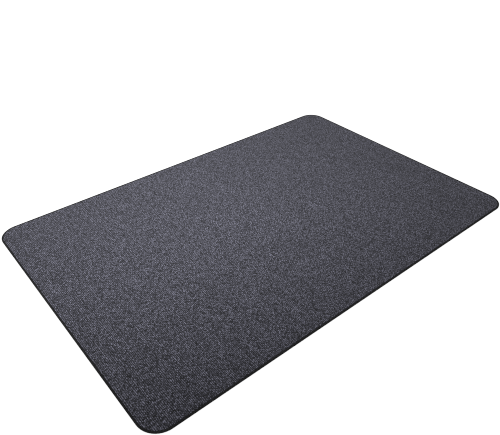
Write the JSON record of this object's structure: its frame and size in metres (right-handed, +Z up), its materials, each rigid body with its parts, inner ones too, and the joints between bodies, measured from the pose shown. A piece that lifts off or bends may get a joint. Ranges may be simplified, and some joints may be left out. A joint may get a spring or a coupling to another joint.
{
  "type": "chair mat",
  "caption": "Flat rectangular floor mat with rounded corners: fine-ribbed charcoal carpet face on a black grip base, overlocked edge, for rolling a desk chair on.",
  "frame": {"origin": "on the floor, under the middle of the mat", "axes": "+X along the long side, +Y along the short side, +Z up out of the carpet face"},
  "size_m": [1.2, 0.8, 0.0042],
  "materials": {
    "face_fabric": "heathered charcoal needle-punched polyester with fine ribs",
    "scrim_fabric": "plain nonwoven",
    "bond_film": "translucent hot-melt film",
    "grip_rubber": "matt black, fine grip texture",
    "seam_thread": "black textured polyester yarn"
  },
  "bodies": {
    "root": {"ribbed_face": "face_fabric", "stabilising_scrim": "scrim_fabric", "bond_film": "bond_film", "grip_base": "grip_rubber", "needle_thread": "seam_thread", "upper_looper_thread": "seam_thread", "lower_looper_thread": "seam_thread"}
  },
  "joints": []
}
